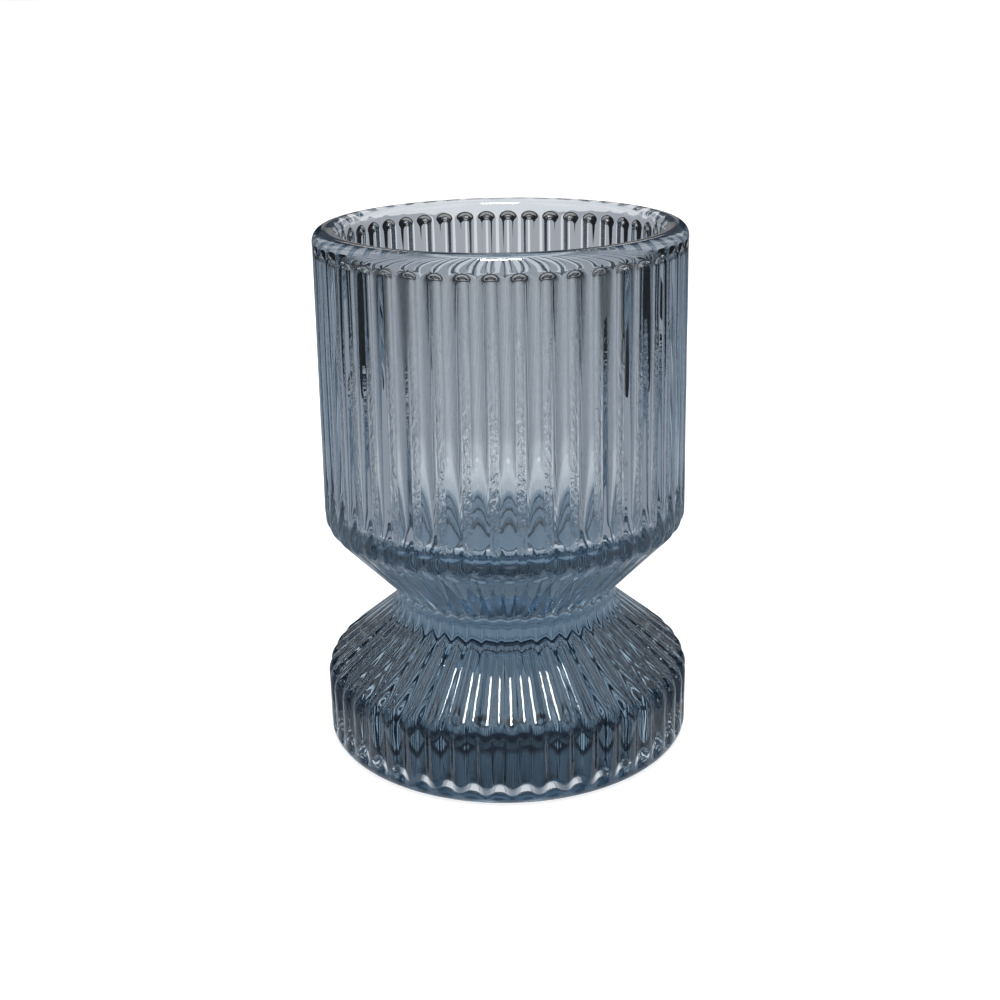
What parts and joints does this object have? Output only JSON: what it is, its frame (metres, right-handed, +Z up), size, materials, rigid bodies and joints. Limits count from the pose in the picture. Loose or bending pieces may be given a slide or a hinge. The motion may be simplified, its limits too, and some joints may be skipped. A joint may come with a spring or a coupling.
{
  "type": "bud vase",
  "caption": "Small footed vase of pressed blue-grey glass: a straight fluted cup with a plain rounded rim, narrow waist and wide solid fluted foot with a shallow recess under it.",
  "frame": {"origin": "centre of the foot's resting face", "axes": "+Z up along the vase's axis, out of the mouth; the vase is turned, so +X and +Y are any two square directions"},
  "size_m": [0.0734, 0.0734, 0.1025],
  "materials": {
    "glass": "gloss"
  },
  "bodies": {
    "root": {"cup": "glass", "foot": "glass"}
  },
  "joints": []
}
